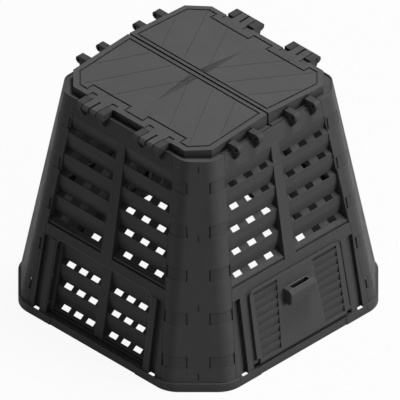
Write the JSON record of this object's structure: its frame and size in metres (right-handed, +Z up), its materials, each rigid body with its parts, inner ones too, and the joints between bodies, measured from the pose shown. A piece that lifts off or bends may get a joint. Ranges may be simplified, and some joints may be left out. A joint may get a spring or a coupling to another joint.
{
  "type": "compost bin with lid",
  "caption": "Pyramid-shaped slotted plastic compost bin with hinged lid flaps, louvred doors and vent panels.",
  "frame": {"origin": "on the ground under the middle of the bin", "axes": "+Z up, +X through the wall with the door that shows in the picture, -Y through the wall with the vent panel that shows"},
  "size_m": [0.933, 0.933, 0.8204],
  "materials": {
    "wall_plastic": "charcoal recycled plastic, fine moulded grain",
    "post_plastic": "charcoal recycled plastic, fine moulded grain",
    "vent_plastic": "charcoal recycled plastic, fine moulded grain",
    "door_plastic": "charcoal recycled plastic, fine moulded grain",
    "lid_plastic": "charcoal recycled plastic, fine moulded grain",
    "pin_plastic": "charcoal plastic, smooth"
  },
  "bodies": {
    "bin": {"wall_front": "wall_plastic", "wall_right": "wall_plastic", "wall_back": "wall_plastic", "wall_left": "wall_plastic", "corner_post_front_right": "post_plastic", "corner_post_back_right": "post_plastic", "corner_post_back_left": "post_plastic", "corner_post_front_left": "post_plastic", "vent_panel_front": "vent_plastic", "vent_panel_back": "vent_plastic", "lid_pin_front_right": "pin_plastic", "lid_pin_front_left": "pin_plastic", "lid_pin_back_right": "pin_plastic", "lid_pin_back_left": "pin_plastic"},
    "lid_front": {"lid_flap_front": "lid_plastic"},
    "lid_back": {"lid_flap_back": "lid_plastic"},
    "door_right": {"door_right": "door_plastic"},
    "door_left": {"door_left": "door_plastic"}
  },
  "joints": [
    {"name": "lid_front_hinge", "type": "hinge", "parent": "bin", "child": "lid_front", "pos_m": [0, -0.3455, 0.787], "axis": [1, 0, 0], "range_deg": [0, 110]},
    {"name": "lid_back_hinge", "type": "hinge", "parent": "bin", "child": "lid_back", "pos_m": [0, 0.3455, 0.787], "axis": [-1, 0, 0], "range_deg": [0, 110]},
    {"name": "door_right_hinge", "type": "hinge", "parent": "bin", "child": "door_right", "pos_m": [0.4479, 0, 0.0475], "axis": [0, 1, 0], "range_deg": [0, 95]},
    {"name": "door_left_hinge", "type": "hinge", "parent": "bin", "child": "door_left", "pos_m": [-0.4479, 0, 0.0475], "axis": [0, -1, 0], "range_deg": [0, 95]}
  ]
}
